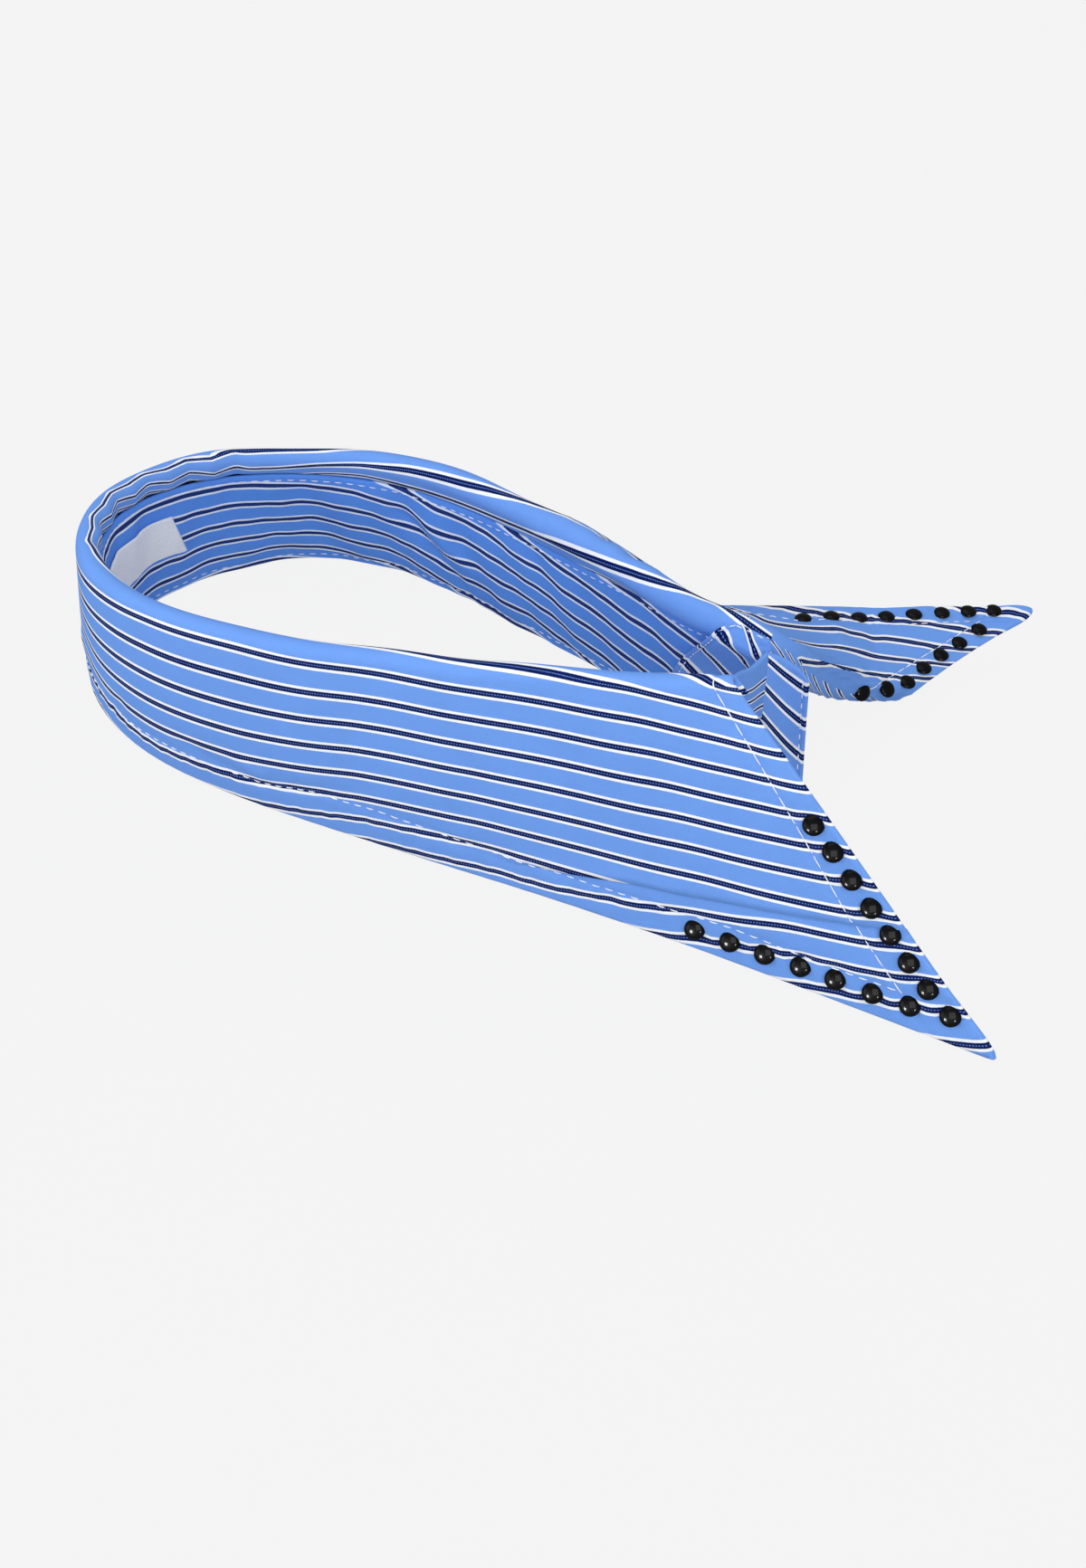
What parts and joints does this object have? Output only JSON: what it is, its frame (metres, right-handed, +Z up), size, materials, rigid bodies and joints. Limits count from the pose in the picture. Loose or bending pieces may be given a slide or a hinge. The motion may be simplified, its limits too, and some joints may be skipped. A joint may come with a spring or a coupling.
{
  "type": "detachable shirt collar",
  "caption": "Detachable striped shirt collar standing as an open neck loop, its front points trimmed with rows of round black studs.",
  "frame": {"origin": "middle of the bounding box on the surface that the collar stands on", "axes": "+Z up, -Y toward the front of the collar where its points are, +X toward the wearer's left"},
  "size_m": [0.1567, 0.2231, 0.0607],
  "materials": {
    "striped_poplin": "light blue cotton poplin with white and navy stripes",
    "striped_poplin_inside": "the same striped poplin on the inner band",
    "white_woven_tape": "plain woven label tape",
    "black_enamel": "glossy black enamel"
  },
  "bodies": {
    "root": {"collar_leaf": "striped_poplin", "collar_stand": "striped_poplin_inside", "band_tab": "striped_poplin", "tie_end": "striped_poplin", "neck_label": "white_woven_tape", "stud_right_01": "black_enamel", "stud_right_02": "black_enamel", "stud_right_03": "black_enamel", "stud_right_04": "black_enamel", "stud_right_05": "black_enamel", "stud_right_06": "black_enamel", "stud_right_07": "black_enamel", "stud_right_08": "black_enamel", "stud_right_09": "black_enamel", "stud_right_10": "black_enamel", "stud_right_11": "black_enamel", "stud_right_12": "black_enamel", "stud_right_13": "black_enamel", "stud_right_14": "black_enamel", "stud_right_15": "black_enamel", "stud_left_01": "black_enamel", "stud_left_02": "black_enamel", "stud_left_03": "black_enamel", "stud_left_04": "black_enamel", "stud_left_05": "black_enamel", "stud_left_06": "black_enamel", "stud_left_07": "black_enamel", "stud_left_08": "black_enamel", "stud_left_09": "black_enamel", "stud_left_10": "black_enamel", "stud_left_11": "black_enamel", "stud_left_12": "black_enamel", "stud_left_13": "black_enamel", "stud_left_14": "black_enamel", "stud_left_15": "black_enamel"}
  },
  "joints": []
}
